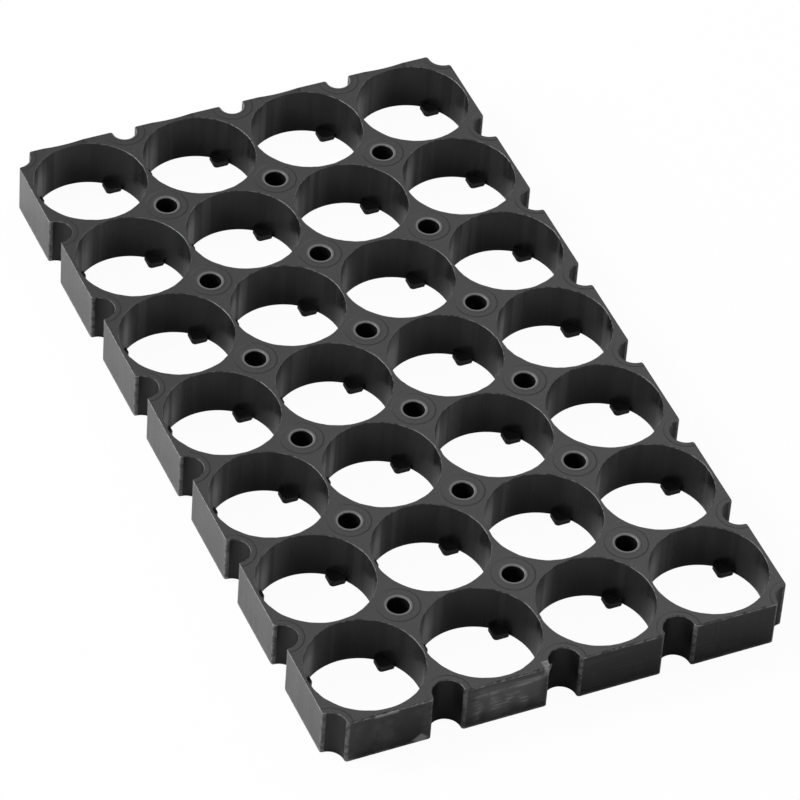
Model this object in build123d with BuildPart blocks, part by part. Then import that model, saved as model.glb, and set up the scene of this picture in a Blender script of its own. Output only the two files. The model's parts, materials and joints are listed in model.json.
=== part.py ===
"""One-piece moulded bracket that holds 18650 cells upright, four by seven. Sizes are in millimetres."""

import os
from math import radians, tan

from build123d import *

# Cells, and the square grid that they stand on
columns = 4
rows = 7
cell_diameter = 18.3  # an 18650 cell in its sleeve
cell_clearance = 0.2  # on the diameter
bore_wall = 0.5  # plastic between two neighbouring bores, at its thinnest

# Block around the bores
height = 8.7
side_wall = 0.55  # outside the bores along the two long sides
end_wall = 0.8  # outside the bores along the two ends

# Screw holes, one in each web where four bores meet
screw_diameter = 3.0
screw_clearance = 0.5  # on the diameter

# Upright notches around the outside, where the grid's next screw holes would be
notch_diameter = 5.0
back_notch_diameter = 3.8  # the three in the back end are narrower
notch_lip_bevel = 0.3  # on a notch's two upright edges

# Stops in the foot of each bore, four pointed tabs that a cell's end rests on
stop_width = 3.3
stop_reach = 2.0  # from the bore's wall in to a tab's blunt point
stop_point_flat = 0.5  # width of that point
stop_thickness = 1.0
foot_draft = 1.0  # degrees that a bore opens by below its stops, for the mould to draw

bore_diameter = cell_diameter + cell_clearance
pitch = bore_diameter + bore_wall
width = (columns - 1) * pitch + bore_diameter + 2 * side_wall
length = (rows - 1) * pitch + bore_diameter + 2 * end_wall
screw_hole_diameter = screw_diameter + screw_clearance
foot_diameter = bore_diameter + 2 * stop_thickness * tan(radians(foot_draft))
stop_end = pitch / 2**0.5 - bore_diameter / 2 + stop_reach  # from a web's centre to a tab's point
side_line = columns * pitch / 2
end_line = rows * pitch / 2

# A lip is where a notch's arc runs out through one of the four outer faces
side_mouths = [(side * side_line, y) for side in (-1, 1) for y in
               [(row - (rows - 2) / 2) * pitch for row in range(rows - 1)]]
end_places = [(column - (columns - 2) / 2) * pitch for column in range(columns - 1)]
front_mouths = [(x, -end_line) for x in end_places]
back_mouths = [(x, end_line) for x in end_places]
corner_mouths = [(sx * side_line, sy * end_line) for sx in (-1, 1) for sy in (-1, 1)]

# The pad under a web is a cross, and its ends are the tabs of the four bores around the web
with BuildSketch() as stop_pad:
    Rectangle(stop_width, 2 * stop_end, rotation=45)
    Rectangle(stop_width, 2 * stop_end, rotation=-45)
    pad_size = 2**0.5 * (stop_end + stop_point_flat / 2)
    Rectangle(pad_size, pad_size, mode=Mode.INTERSECT)

with BuildPart() as cell_bracket:
    # The block, with its notches and their bevelled lips
    with BuildSketch() as outline:
        Rectangle(width, length)
        with Locations(*side_mouths, *front_mouths, *corner_mouths):
            Circle(notch_diameter / 2, mode=Mode.SUBTRACT)
        with Locations(*back_mouths):
            Circle(back_notch_diameter / 2, mode=Mode.SUBTRACT)
        chamfer(outline.vertices(), notch_lip_bevel)
    extrude(amount=height)

    # The bores, which open a little downwards below the stops
    with GridLocations(pitch, pitch, columns, rows):
        with Locations((0, 0, stop_thickness)):
            Cylinder(bore_diameter / 2, height - stop_thickness,
                     align=(Align.CENTER, Align.CENTER, Align.MIN), mode=Mode.SUBTRACT)
        Cone(foot_diameter / 2, bore_diameter / 2, stop_thickness,
             align=(Align.CENTER, Align.CENTER, Align.MIN), mode=Mode.SUBTRACT)

    # The stops, which the pads add across the bores, cut off by the outline
    with BuildSketch():
        with GridLocations(pitch, pitch, columns + 1, rows + 1):
            add(stop_pad.sketch)
        add(outline.sketch, mode=Mode.INTERSECT)
    extrude(amount=stop_thickness)

    # The screw holes
    with GridLocations(pitch, pitch, columns - 1, rows - 1):
        Hole(screw_hole_diameter / 2)

cell_bracket.part.label = "cell_bracket"

os.makedirs("parts", exist_ok=True)
export_step(cell_bracket.part, "parts/cell_bracket.step")
print(f"bracket {width:.2f} x {length:.2f} x {height:.2f}, pitch {pitch:.2f}, bores {bore_diameter:.2f}")
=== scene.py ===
import json
from math import pi, radians
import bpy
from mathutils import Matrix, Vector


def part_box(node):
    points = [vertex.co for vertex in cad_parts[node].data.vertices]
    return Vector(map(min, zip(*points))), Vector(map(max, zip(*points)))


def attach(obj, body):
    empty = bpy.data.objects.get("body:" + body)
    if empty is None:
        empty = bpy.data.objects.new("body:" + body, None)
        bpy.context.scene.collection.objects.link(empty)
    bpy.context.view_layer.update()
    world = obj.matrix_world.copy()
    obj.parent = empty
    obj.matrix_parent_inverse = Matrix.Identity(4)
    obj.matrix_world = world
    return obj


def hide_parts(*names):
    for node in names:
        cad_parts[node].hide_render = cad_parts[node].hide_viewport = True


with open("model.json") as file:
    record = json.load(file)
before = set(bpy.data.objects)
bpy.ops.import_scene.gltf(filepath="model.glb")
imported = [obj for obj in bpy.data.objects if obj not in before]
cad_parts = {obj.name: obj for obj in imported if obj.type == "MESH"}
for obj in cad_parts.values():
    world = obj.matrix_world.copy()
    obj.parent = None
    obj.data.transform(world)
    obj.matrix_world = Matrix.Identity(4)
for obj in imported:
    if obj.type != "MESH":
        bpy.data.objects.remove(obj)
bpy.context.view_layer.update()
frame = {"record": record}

from types import SimpleNamespace

import bmesh
import bpy
from mathutils import Euler, Matrix, Vector, noise

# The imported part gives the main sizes, in millimetres. All is modelled in them, then made metres.
mm = 0.001
low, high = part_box("cell_bracket")
mounts = {mount["name"]: mount["dims"] for mount in frame["record"]["mounts"]}
halfWidth, halfLength, height = high.x / mm, high.y / mm, high.z / mm
pitch = mounts["screw_holes_outer_rows"]["spacing_x_mm"] / 2
boreRadius = mounts["cell_bore"]["r_mm"]
screwRadius = mounts["screw_holes_outer_rows"]["hole_r_mm"]
stopLevel = height - mounts["cell_bore"]["length_mm"]
columns, rows = int(2 * halfWidth / pitch), int(2 * halfLength / pitch)

tiny = 1e-4       # points nearer than this are one
rimBand = 0.2     # points this near the top or an outer face belong to its rim
clearance = 1.0   # how far a cutter stands out above and below


def centred(count):
    # That many values, one pitch apart, with their middle at 0
    return [(i - (count - 1) / 2) * pitch for i in range(count)]


def gridPlaces(across, along):
    return [(x, y, 0) for x in centred(across) for y in centred(along)]


def pointsOf(parts):
    return [part for part in parts if isinstance(part, bmesh.types.BMVert)]


def cut(body, tool):
    # Cuts the tool from the body, keeps the result as the body's mesh, and removes the tool
    change = body.modifiers.new("cut", "BOOLEAN")
    change.object, change.operation, change.solver = tool, "DIFFERENCE", "EXACT"
    bpy.context.view_layer.update()
    evaluated = body.evaluated_get(bpy.context.evaluated_depsgraph_get())
    result = bpy.data.meshes.new_from_object(evaluated)
    body.modifiers.clear()
    body.data = result
    bpy.data.objects.remove(tool)


def addToScene(name, data):
    piece = bpy.data.objects.new(name, data)
    bpy.context.scene.collection.objects.link(piece)
    return piece


def asObject(bm, name):
    bmesh.ops.recalc_face_normals(bm, faces=bm.faces)
    mesh = bpy.data.meshes.new(name)
    bm.to_mesh(mesh)
    bm.free()
    return addToScene(name, mesh)


def repeat(bm, places):
    # The shape stands at the centre; it ends up once at each place
    shape = bm.verts[:] + bm.edges[:] + bm.faces[:]
    for place in places:
        copy = bmesh.ops.duplicate(bm, geom=shape)["geom"]
        bmesh.ops.translate(bm, vec=place, verts=pointsOf(copy))
    bmesh.ops.delete(bm, geom=pointsOf(shape))


def turned(name, profile, places, steps):
    # A solid turned round the upright axis from a profile of (radius, level) between its ends on it
    bm = bmesh.new()
    points = [bm.verts.new((radius, 0, level)) for radius, level in profile]
    lines = [bm.edges.new(pair) for pair in zip(points, points[1:])]
    bmesh.ops.spin(bm, geom=points + lines, cent=(0, 0, 0), axis=(0, 0, 1), angle=2 * pi,
                   steps=steps, use_merge=True)
    bmesh.ops.remove_doubles(bm, verts=bm.verts, dist=tiny)
    repeat(bm, places)
    return asObject(bm, name)


block = {
    "notchWidth": 5.0,
    "backNotchWidth": 3.8,
    "sideSetBack": 0.3,        # from a side face in to the line of the notches' centres
    "endSetBack": 0.55,
    "lip": 0.42,               # bevel of a notch's two upright edges
    "edge": 0.14,              # rounding of the upper and lower outer edges
    "arcSteps": 12,
    "rag": 0.18,               # how far the front's upper edge is torn
    "ragCuts": 36,             # points along each block's torn edge
    "ragScales": (1.7, 0.5),   # fine and coarse tears to a millimetre
}


def blockOutline():
    # The notched outline as (x, y, kind) points: at a lip a notch meets a face, at a bend it turns
    half, backHalf = block["notchWidth"] / 2, block["backNotchWidth"] / 2
    sideLine, endLine = halfWidth - block["sideSetBack"], halfLength - block["endSetBack"]

    def notches(places, face, line, halfNotch):
        # One face's notches as (place along it, distance out from the centre, kind)
        return [point for place in places for point in (
            (place - halfNotch, face, "lip"), (place - halfNotch, line - halfNotch, "bend"),
            (place + halfNotch, line - halfNotch, "bend"), (place + halfNotch, face, "lip"))]

    def corner(signX, signY):
        # A corner's notch, from its side face to its end face
        return [(signX * halfWidth, signY * (endLine - half), "lip"),
                (signX * (sideLine - half), signY * (endLine - half), "bend"),
                (signX * (sideLine - half), signY * halfLength, "lip")]

    side = notches(centred(rows - 1), halfWidth, sideLine, half)
    back = notches(centred(columns - 1), halfLength, endLine, backHalf)
    front = notches(centred(columns - 1), halfLength, endLine, half)
    return ([(out, along, kind) for along, out, kind in side] + corner(1, 1) + back[::-1]
            + corner(-1, 1)[::-1] + [(-out, along, kind) for along, out, kind in side[::-1]]
            + corner(-1, -1) + [(along, -out, kind) for along, out, kind in front]
            + corner(1, -1)[::-1])


def tearFrontEdge(bm):
    # Divides the front's upper edge and sinks its points a little, each inside its own flat face
    def torn(point):
        return point.co.z > height - rimBand and point.co.y < rimBand - halfLength

    inPlane = 0.01
    longLines = [line for line in bm.edges if line.calc_length() > block["notchWidth"]]
    worn = [line for line in longLines if all(torn(point) for point in line.verts)]
    bmesh.ops.subdivide_edges(bm, edges=worn, cuts=block["ragCuts"], use_grid_fill=True)
    fine, coarse = block["ragScales"]
    for point in filter(torn, bm.verts):
        ragged = abs(noise.noise(point.co * fine)) + 0.6 * abs(noise.noise(point.co * coarse))
        if point.co.z < height - inPlane:
            point.co.z -= ragged * block["rag"]
        if point.co.y > inPlane - halfLength:
            point.co.y += ragged * block["rag"] * 0.5


def makeBlock():
    bm = bmesh.new()
    half, backHalf = block["notchWidth"] / 2, block["backNotchWidth"] / 2
    outline = [(bm.verts.new((x, y, 0)), kind) for x, y, kind in blockOutline()]
    bm.faces.new([point for point, kind in outline])
    lips = [point for point, kind in outline if kind == "lip"]
    bends = [point for point, kind in outline if kind == "bend"]
    backLine = halfLength - block["endSetBack"] - half
    cornerLine = halfWidth - block["sideSetBack"] - half
    backBends = [point for point in bends if point.co.y > backLine and abs(point.co.x) < cornerLine]
    otherBends = [point for point in bends if point not in backBends]
    for points, radius, steps in ((otherBends, half, block["arcSteps"]),
                                  (backBends, backHalf, block["arcSteps"]),
                                  (lips, block["lip"], 2)):
        bmesh.ops.bevel(bm, geom=points, affect="VERTICES", offset=radius, segments=steps,
                        profile=0.5, material=-1, clamp_overlap=False)
    bmesh.ops.remove_doubles(bm, verts=bm.verts, dist=tiny)
    raised = bmesh.ops.extrude_face_region(bm, geom=bm.faces[:])["geom"]
    bmesh.ops.translate(bm, vec=(0, 0, height), verts=pointsOf(raised))
    rims = [line for line in bm.edges if abs(line.verts[0].co.z - line.verts[1].co.z) < tiny]
    bmesh.ops.bevel(bm, geom=rims, affect="EDGES", offset=block["edge"], segments=3, profile=0.5,
                    material=-1)
    tearFrontEdge(bm)
    return asObject(bm, "cellBracket")


bores = {
    "rim": 0.13,        # rounding of the upper rim
    "foot": 0.1,        # rounding of the lower rim
    "footDraft": 0.05,  # how far the wall opens below the stops
    "steps": 96,
}
stops = {
    "width": 3.3,
    "reaches": (2.0, 1.05, 2.0, 2.0),  # wall to point, from the right back corner round
    "point": 0.6,                      # rounding of the point
    "edge": 0.1,
    "root": 0.6,                       # how far outside the bore's wall a tab begins
}
screwHoles = {"rim": 0.16, "foot": 0.12, "steps": 40}
quarterRound = ((0, 1), (0.076, 0.617), (0.293, 0.293), (0.617, 0.076), (1, 0))  # out and down


def upperRim(radius, rim, points):
    # The profile of a hole's rounded upper rim, on to the axis above it
    rounded = [(radius + rim * out, height - rim * down) for out, down in points]
    return rounded + [(radius + rim, height + clearance), (0, height + clearance)]


def makeBores():
    foot, wide = bores["foot"], boreRadius + bores["footDraft"]
    profile = [(0, -clearance), (wide + foot, -clearance), (wide + foot, 0),
               (wide + foot * 0.3, foot * 0.3), (wide, foot), (boreRadius, stopLevel)]
    profile += upperRim(boreRadius, bores["rim"], quarterRound)
    return turned("bores", profile, gridPlaces(columns, rows), bores["steps"])


def makeStops():
    # Pointed tabs, four to a bore, that stand in its foot under the four webs
    bm = bmesh.new()
    half, root, below = stops["width"] / 2, boreRadius + stops["root"], -2 * clearance
    for turn, reach in enumerate(stops["reaches"]):
        tip = boreRadius - reach - stops["point"] * (2**0.5 - 1)
        places = ((tip, 0), (tip + half, -half), (root, -half), (root, half), (tip + half, half))
        points = [bm.verts.new((out, across, below)) for out, across in places]
        bm.faces.new(points)
        bmesh.ops.bevel(bm, geom=points[:1], affect="VERTICES", offset=stops["point"], segments=5,
                        profile=0.5, material=-1)
        base = points[1].link_faces[0]
        raised = bmesh.ops.extrude_face_region(bm, geom=[base])["geom"]
        top = pointsOf(raised)
        bmesh.ops.translate(bm, vec=(0, 0, stopLevel - below), verts=top)
        rim = [line for line in raised if isinstance(line, bmesh.types.BMEdge)]
        bmesh.ops.rotate(bm, cent=(0, 0, 0), verts=base.verts[:] + top,
                         matrix=Matrix.Rotation(pi / 4 + turn * pi / 2, 3, "Z"))
        bmesh.ops.bevel(bm, geom=rim, affect="EDGES", offset=stops["edge"], segments=2,
                        profile=0.5, material=-1)
    repeat(bm, gridPlaces(columns, rows))
    return asObject(bm, "stops")


def makeScrewHoles():
    foot = screwHoles["foot"]
    profile = [(0, -clearance), (screwRadius + foot, -clearance), (screwRadius + foot, 0),
               (screwRadius, foot)]
    profile += upperRim(screwRadius, screwHoles["rim"], quarterRound[::2])
    return turned("screwHoles", profile, gridPlaces(columns - 1, rows - 1), screwHoles["steps"])


dips = {  # where the thin back wall sank beside each bore as it cooled
    "depth": 0.3,
    "width": 8.0,
    "shift": -1.0,
    "length": 3.2,
    "steps": 160,
}


def makeDips():
    # Long shallow rollers laid across the back wall
    bm = bmesh.new()
    depth, half = dips["depth"], dips["width"] / 2
    radius = (half**2 + depth**2) / (2 * depth)
    for place in centred(columns):
        middle = (place + dips["shift"], halfLength, height - depth + radius)
        bmesh.ops.create_cone(bm, cap_ends=True, segments=dips["steps"], radius1=radius,
                              radius2=radius, depth=dips["length"],
                              matrix=Matrix.Translation(middle) @ Matrix.Rotation(pi / 2, 4, "X"))
    return asObject(bm, "dips")


bracket = makeBlock()
cellCutter = makeBores()
cut(cellCutter, makeStops())
cut(bracket, cellCutter)
cut(bracket, makeScrewHoles())
cut(bracket, makeDips())
print("bracket cut:", len(bracket.data.vertices), "points")


nicks = {"depth": 0.07, "size": 1.3, "fineSize": 0.39, "fineShare": 0.6}  # in the bores' rims


def nickRims(bm):
    for place in gridPlaces(columns, rows):
        centre = Vector(place)
        for point in bm.verts:
            out = (point.co - centre).to_2d()
            if point.co.z > height - rimBand and abs(out.length - boreRadius) < rimBand:
                ragged = (noise.noise(point.co / nicks["size"])
                          + nicks["fineShare"] * noise.noise(point.co / nicks["fineSize"]))
                point.co += out.normalized().to_3d() * ragged * nicks["depth"]


flap = {  # torn flash at the middle front notch's left lip
    "size": (1.5, 1.3),
    "thick": 0.16,
    "place": (-2.75, 0.42, -0.75),  # across, behind the front face, and from the top
    "crumple": 0.5,
    "crumpleScale": 1.5,
    "lean": 0.15,
    "swing": 0.25,
    "inset": 0.02,                  # how far it stays inside the block's faces
}


def addFlap(bm):
    old = set(bm.verts)
    bmesh.ops.create_grid(bm, x_segments=6, y_segments=5, size=0.5)
    scrap = [point for point in bm.verts if point not in old]
    wide, tall = flap["size"]
    scale = flap["crumpleScale"]
    for point in scrap:
        across, up = point.co.x * wide, point.co.y * tall
        ragged = noise.noise(Vector((across * scale, up * scale, 2 * scale)))
        point.co = Vector((across * 0.8 + up * flap["lean"],
                           across * flap["swing"] + ragged * flap["crumple"],
                           up * (1 + ragged) + across * flap["lean"]))
    faces = list({face for point in scrap for face in point.link_faces})
    bmesh.ops.solidify(bm, geom=faces, thickness=flap["thick"])
    across, back, down = flap["place"]
    made = [point for point in bm.verts if point not in old]
    bmesh.ops.translate(bm, vec=(across, back - halfLength, height + down), verts=made)
    for point in made:
        point.co.y = max(point.co.y, flap["inset"] - halfLength)
        point.co.z = min(point.co.z, height - flap["inset"])


def finishBracket(piece, sharpAngle=50):
    bm = bmesh.new()
    bm.from_mesh(piece.data)
    bmesh.ops.remove_doubles(bm, verts=bm.verts, dist=tiny)
    nickRims(bm)
    addFlap(bm)
    bmesh.ops.scale(bm, vec=(mm, mm, mm), verts=bm.verts)
    for face in bm.faces:
        face.smooth = True
    for line in bm.edges:
        line.smooth = line.calc_face_angle(0) < radians(sharpAngle)
    bm.to_mesh(piece.data)
    bm.free()
    weighted = piece.modifiers.new("normals", "WEIGHTED_NORMAL")
    weighted.keep_sharp = True


finishBracket(bracket)


class Socket:
    # One output of a shader node tree; sums and products on it add the Math nodes
    def __init__(self, tree, link=None):
        self.tree, self.link = tree, link

    def node(self, kind, settings=None, inputs=None, output=0):
        made = self.tree.nodes.new(kind)
        for name, value in (settings or {}).items():
            setattr(made, name, value)
        for name, value in (inputs or {}).items():
            if isinstance(value, Socket):
                self.tree.links.new(value.link, made.inputs[name])
            else:
                made.inputs[name].default_value = value
        return Socket(self.tree, made.outputs[output] if len(made.outputs) else None)

    def maths(self, operation, *values):
        return self.node("ShaderNodeMath", {"operation": operation}, dict(enumerate(values)))

    def __add__(self, other): return self.maths("ADD", self, other)
    def __radd__(self, other): return self.maths("ADD", other, self)
    def __sub__(self, other): return self.maths("SUBTRACT", self, other)
    def __rsub__(self, other): return self.maths("SUBTRACT", other, self)
    def __mul__(self, other): return self.maths("MULTIPLY", self, other)
    def __rmul__(self, other): return self.maths("MULTIPLY", other, self)
    def __gt__(self, other): return self.maths("GREATER_THAN", self, other)
    def __lt__(self, other): return self.maths("LESS_THAN", self, other)
    def __abs__(self): return self.maths("ABSOLUTE", self)
    def most(self, other): return self.maths("MAXIMUM", self, other)
    def least(self, other): return self.maths("MINIMUM", self, other)

    def ramp(self, start, end):
        # 0 at start, 1 at end, smooth between and flat outside; end may be the lower one
        return self.node("ShaderNodeMapRange", {"interpolation_type": "SMOOTHSTEP"},
                         {"Value": self, "From Min": start, "From Max": end})

    def stretched(self, x, y, z):
        return self.node("ShaderNodeVectorMath", {"operation": "MULTIPLY"}, {0: self, 1: (x, y, z)})

    def axis(self, name):
        return self.node("ShaderNodeSeparateXYZ", inputs={"Vector": self}, output=name)

    def mottle(self, size, detail):
        return self.node("ShaderNodeTexNoise",
                         inputs={"Vector": self, "Scale": 1 / size, "Detail": detail})


def emptyTree(owner):
    # Switches a material's or world's nodes on, and gives a socket that adds to its emptied tree
    owner.use_nodes = True
    owner.node_tree.nodes.clear()
    return Socket(owner.node_tree)


plastic = {
    "color": (0.007, 0.007, 0.0075, 1),
    "worn": (0.36, 0.36, 0.37, 1),   # pale colour of the bruise on the front edge, the scuffs and scratches, and of the painted highlights along the edges and painted reflections in the bores, notches and front haze
    "flatRoughness": 0.42,
    "wallRoughness": (0.14, 0.36),   # between the draw marks and on them
    "wornRoughness": 0.3,            # added on the wear and on the painted highlights and reflections
    "dullRoughness": 0.45,           # inside the notches and screw holes, and on the front
    "dullReflection": 0.25,
    "dullFront": 0.8,                # how much of the front is dull
    "grain": 0.034,                  # depth of the grain on the flat top
    "streaks": 0.03,                 # depth of the upright draw marks on the walls
    "scratches": 0.02,               # depth of the scratches
}
rings = {  # moulding marks round the holes and notches
    "radii": (3.4, 2.35),
    "depths": (0.06, 0.025),
    "width": 0.16,
}
noises = {  # size in millimetres, detail, and how much each is squeezed along x, y and z
    "streaks": (2.2, 2.0, (1, 1, 0.03)),
    "fineStreaks": (0.35, 2.0, (1, 1, 0.05)),
    "bands": (2.6, 2.0, (1, 1, 0.02)),
    "patches": (3.0, 4.0, (1, 1, 1)),
    "broken": (0.8, 3.0, (1, 1, 1)),
    "specks": (0.45, 1.0, (1, 1, 1)),
    "grain": (0.35, 3.0, (1, 1, 1)),
    "scratches": (1.3, 5.0, (0.16, 1, 4.0)),
}
wearAndPaintedLight = {  # how pale each kind of mark is, and where the single ones are along the front; some are real wear, some are painted highlights and painted reflections
    "edges": 0.5,               # share of the next three, which are painted highlights along the upper rims, the outer faces' feet and the notches' lips
    "rims": 0.7,
    "feet": 0.8,
    "lips": 0.45,
    # painted highlight round the screw holes' rims
    "screwRims": 0.28,
    # painted reflection: pale streaks on the bores' walls, gathered on their left
    "drawMarks": 0.2,
    "rubbedEnds": (0.35, 0.6),  # painted reflection on the bores' left ends, everywhere there and more in bands
    "sides": 0.07,
    "specks": 0.08,
    "front": 0.68,              # share of all that follow
    "scratches": 0.48,
    # haze on the front, partly real scuffing and partly painted reflection
    "haze": 0.3,
    # painted reflection: pale bands inside the outer notches
    "notches": 0.06,
    "chip": 0.9,
    "chipPlace": (-23.2, 0.7),  # along and up
    "bruise": 0.8,
    "bruisePlace": -29.2,
    "rubbedPlace": -9.0,        # the middle of the block that is scuffed most and given the most painted reflection in its haze
}


def nearest(value, count):
    # Signed distance from the nearest of that many centred lines, one pitch apart
    turns = value * (1 / pitch) + count / 2
    return (turns - turns.maths("FLOOR", turns) - 0.5) * pitch


def texture(place, name):
    size, detail, squeeze = noises[name]
    return place.stretched(*squeeze).mottle(size, detail)


def readSurface(start):
    # What the marks go by: the place in millimetres, the kind of face, and the shared noises
    place = start.node("ShaderNodeTexCoord", output="Object").stretched(1 / mm, 1 / mm, 1 / mm)
    x, y, z = (place.axis(name) for name in "XYZ")
    flat = abs(start.node("ShaderNodeNewGeometry", output="Normal").axis("Z")).ramp(0.8, 0.95)
    wall = 1 - flat
    webX, webY = nearest(x, columns + 1), nearest(y, rows + 1)
    webRadius = x.maths("SQRT", webX * webX + webY * webY)
    outerDepth, notchRadius = 0.6, block["notchWidth"] / 2
    side = abs(x) > halfWidth - outerDepth
    return SimpleNamespace(
        x=x, y=y, z=z, place=place, flat=flat, wall=wall, webRadius=webRadius, side=side,
        outer=side.most(abs(y) > halfLength - outerDepth),
        front=y < 0.02 - halfLength,
        inNotch=wall * webRadius.ramp(notchRadius + 0.25, notchRadius + 0.1),
        streaks=texture(place, "streaks"),
        bands=texture(place, "bands").ramp(0.44, 0.56),
        patches=texture(place, "patches"),
        broken=texture(place, "broken").ramp(0.38, 0.62))


def paintedBoreReflections(at):
    # Painted reflection inside a bore: pale streaks gather on the left of its wall, and its left
    # end is painted pale, more so in bands
    boreX, boreY = nearest(at.x, columns), nearest(at.y, rows)
    boreSide = at.wall * (at.webRadius > block["notchWidth"] / 2 + 0.3) * (1 - at.outer)
    leftPart = boreX.ramp(0.5, -5.0)
    streakedReflection = boreSide * (at.bands * (0.1 + 0.8 * leftPart) + 0.6 * leftPart)
    endReflection = boreSide * boreX.ramp(-3.4, -6.0) * at.z.ramp(height + 0.5, 2.5) * (boreY > 0)
    even, banded = wearAndPaintedLight["rubbedEnds"]
    return wearAndPaintedLight["drawMarks"] * streakedReflection + endReflection * (even + banded * at.bands)


def paintedEdgeHighlights(at):
    # Painted highlights along the edges, broken up in patches: upper rims, feet, the notches' lips
    # and the screw holes' rims
    notchRadius = block["notchWidth"] / 2
    rim = at.wall * at.z.ramp(height - 0.26, height - 0.1)
    foot = at.wall * at.outer * at.z.ramp(0.7, 0.12)
    lip = (at.wall * at.outer * at.webRadius.ramp(notchRadius + 0.6, notchRadius + 0.35)
           * at.webRadius.ramp(notchRadius - 0.15, notchRadius))
    screwRim = (at.webRadius.ramp(screwRadius + 0.5, screwRadius + 0.25)
                * at.z.ramp(height - 0.3, height - 0.1))
    edgeHighlights = rim * wearAndPaintedLight["rims"] + foot * wearAndPaintedLight["feet"] + lip * wearAndPaintedLight["lips"]
    return edgeHighlights * (at.broken * 0.75 + 0.25) * wearAndPaintedLight["edges"] + screwRim * wearAndPaintedLight["screwRims"]


def frontMarks(at, scuffs, rubbedAndSheenBlock):
    # Scuffs and haze, thickest on the rubbed block, and the chip, the bruise and the torn edge. The
    # haze on the left half's fronts is partly real scuffing and partly painted reflection
    haze = (0.06 + at.patches.ramp(0.3, 0.7) * 0.34) * (at.x < 0) + 0.7 * rubbedAndSheenBlock
    chipX, chipZ = wearAndPaintedLight["chipPlace"]
    chip = (abs(at.x - chipX) + abs(at.z - chipZ) * 1.3 + at.patches * 1.2).ramp(2.3, 1.5)
    bruise = (abs(at.x - wearAndPaintedLight["bruisePlace"]).ramp(2.2, 1.5)
              * at.z.ramp(height - 0.9, height - 0.4))
    torn = at.z.ramp(height - 0.5, height - 0.2) * (at.broken * 0.7 + 0.15)
    return scuffs * wearAndPaintedLight["scratches"] + at.front * (
        haze * wearAndPaintedLight["haze"] + chip * wearAndPaintedLight["chip"] + bruise * wearAndPaintedLight["bruise"] + torn)


def flapMarks(at):
    flapX, flapDepth = flap["place"][0], 1.4
    onFlap = (abs(at.x - flapX).ramp(1.0, 0.6) * (at.y < flapDepth - halfLength)
              * at.z.ramp(height - 2.1, height - 1.3))
    return onFlap * (0.3 + 0.4 * at.broken)


def makePlastic():
    material = bpy.data.materials.new("blackPlastic")
    start = emptyTree(material)
    at = readSurface(start)
    scratches = texture(at.place, "scratches").ramp(0.44, 0.66) * at.patches.ramp(0.38, 0.56)
    waved = at.z + at.patches * 2
    # The block with the most scuffs, whose haze also carries the most painted reflection
    rubbedAndSheenBlock = (abs(at.x - wearAndPaintedLight["rubbedPlace"]).ramp(6.4, 4.4) * waved.ramp(1.8, 4.2)
                   * waved.ramp(height + 1, height - 1))
    scuffs = scratches * at.front * (0.08 + rubbedAndSheenBlock)
    specks = texture(at.place, "specks").ramp(0.70, 0.8) * at.flat
    # Painted reflection: pale bands inside the outer notches
    notches = at.inNotch * at.outer * at.bands
    sides = at.wall * at.side * at.streaks.ramp(0.3, 0.7)
    # Real wear together with the painted highlights on the edges and the painted reflections in the
    # bores, notches and front haze
    wearAndLightMarks = ((frontMarks(at, scuffs, rubbedAndSheenBlock) + flapMarks(at) + notches * wearAndPaintedLight["notches"])
             * wearAndPaintedLight["front"] + paintedBoreReflections(at) + paintedEdgeHighlights(at) + sides * wearAndPaintedLight["sides"]
             + specks * wearAndPaintedLight["specks"])
    worn = wearAndLightMarks.least(1.0)
    color = start.node("ShaderNodeMix", {"data_type": "RGBA"},
                       {0: worn, 6: plastic["color"], 7: plastic["worn"]}, 2)

    # Moulding rings, grain on the flats, draw marks on the walls and scratches, as depths
    width = rings["width"]
    outerRing, innerRing = (depth * at.webRadius.ramp(radius - width, radius + width)
                            for radius, depth in zip(rings["radii"], rings["depths"]))
    grain = texture(at.place, "grain") * plastic["grain"]
    draws = (at.streaks + 0.05 * texture(at.place, "fineStreaks")) * plastic["streaks"]
    level = (at.flat * (outerRing + innerRing + grain) + at.wall * draws
             - plastic["scratches"] * scuffs)
    bump = start.node("ShaderNodeBump", inputs={"Strength": 1.0, "Distance": mm, "Height": level})

    smooth, streaked = plastic["wallRoughness"]
    rough = (at.flat * plastic["flatRoughness"]
             + at.wall * (smooth + (streaked - smooth) * at.streaks)
             + worn * plastic["wornRoughness"])
    glossy = start.node("ShaderNodeBsdfPrincipled", inputs={
        "Base Color": color, "Roughness": rough, "Normal": bump})
    dull = start.node("ShaderNodeBsdfPrincipled", inputs={
        "Base Color": color, "Roughness": plastic["dullRoughness"], "Normal": bump,
        "Specular IOR Level": plastic["dullReflection"]})
    dullPart = at.inNotch.most(at.front * plastic["dullFront"])
    shade = start.node("ShaderNodeMixShader", inputs={0: dullPart, 1: glossy, 2: dull})
    start.node("ShaderNodeOutputMaterial", inputs={"Surface": shade})
    return material


bracket.data.materials.clear()
bracket.data.materials.append(makePlastic())
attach(bracket, "root")
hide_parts("cell_bracket")
print("bracket finished")


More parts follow.
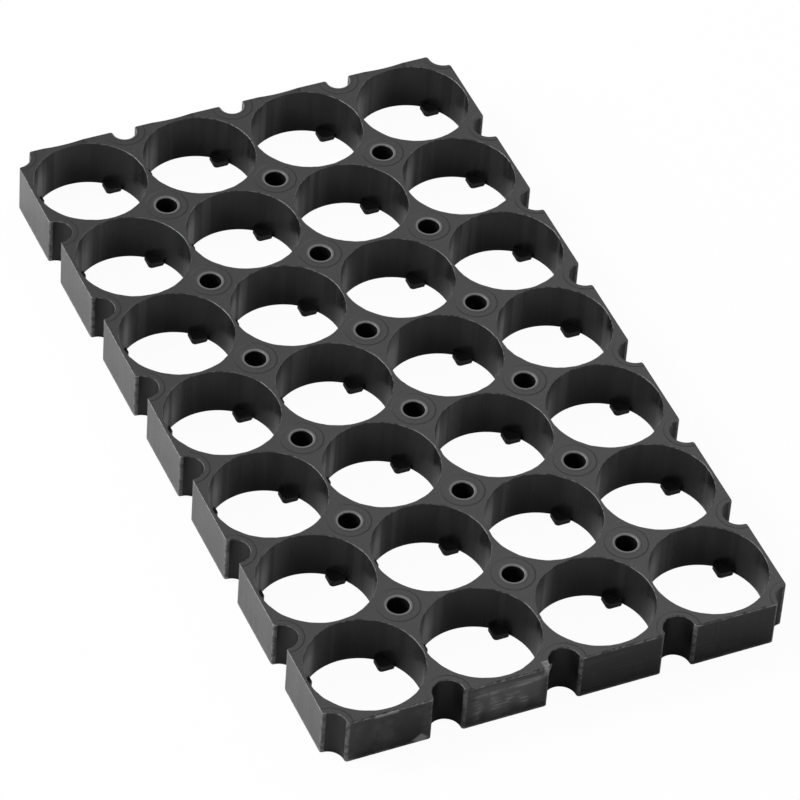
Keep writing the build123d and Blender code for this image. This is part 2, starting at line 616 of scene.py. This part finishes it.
studio = {
    "floorSize": 6.0,
    "floorColor": (0.82, 0.82, 0.82, 1),
    "white": (1, 1, 1, 1),
    "whiteShare": 0.96,     # how much of the floor's look is plain white for the camera
    "world": 0.38,
}
lamps = {
    "leftPanel": {"place": (-0.9, 0.45, 0.55), "size": (0.8, 0.8), "watts": 17.0},
    "backPanel": {"place": (0.45, 0.45, 0.9), "size": (0.7, 0.7), "watts": 3.4},
}


def makeFloor():
    bm = bmesh.new()
    bmesh.ops.create_grid(bm, x_segments=1, y_segments=1, size=studio["floorSize"] / 2)
    floor = asObject(bm, "floor")
    material = bpy.data.materials.new("paleFloor")
    start = emptyTree(material)
    matt = start.node("ShaderNodeBsdfDiffuse", inputs={"Color": studio["floorColor"]})
    white = start.node("ShaderNodeEmission", inputs={"Color": studio["white"], "Strength": 1.0})
    seen = start.node("ShaderNodeLightPath", output="Is Camera Ray")
    mixed = start.node("ShaderNodeMixShader",
                       inputs={0: seen * studio["whiteShare"], 1: matt, 2: white})
    start.node("ShaderNodeOutputMaterial", inputs={"Surface": mixed})
    floor.data.materials.append(material)


def makeLamps():
    for name, lamp in lamps.items():
        light = bpy.data.lights.new(name, "AREA")
        light.shape, light.energy = "RECTANGLE", lamp["watts"]
        light.size, light.size_y = lamp["size"]
        holder = addToScene(name, light)
        holder.location = lamp["place"]
        holder.rotation_euler = (-holder.location).to_track_quat("-Z", "Y").to_euler()


def makeWorld():
    world = bpy.data.worlds.new("studio")
    start = emptyTree(world)
    seen = start.node("ShaderNodeLightPath", output="Is Camera Ray")
    level = seen * (1 - studio["world"]) + studio["world"]
    background = start.node("ShaderNodeBackground",
                            inputs={"Color": studio["white"], "Strength": level})
    start.node("ShaderNodeOutputWorld", inputs={"Surface": background})
    bpy.context.scene.world = world


camera = {
    "place": (-0.2797, -0.5675, 0.6168),
    "turn": (45.738, -3.242, -23.256),
    "lens": 251.1,
    "sensor": 36,
}


def makeCamera():
    data = bpy.data.cameras.new("camera")
    data.lens, data.sensor_width = camera["lens"], camera["sensor"]
    holder = addToScene("camera", data)
    holder.location = camera["place"]
    holder.rotation_euler = Euler([radians(angle) for angle in camera["turn"]])
    bpy.context.scene.camera = holder


makeFloor()
makeLamps()
makeWorld()
makeCamera()
bpy.context.scene.view_settings.view_transform = "Standard"
print("studio ready")
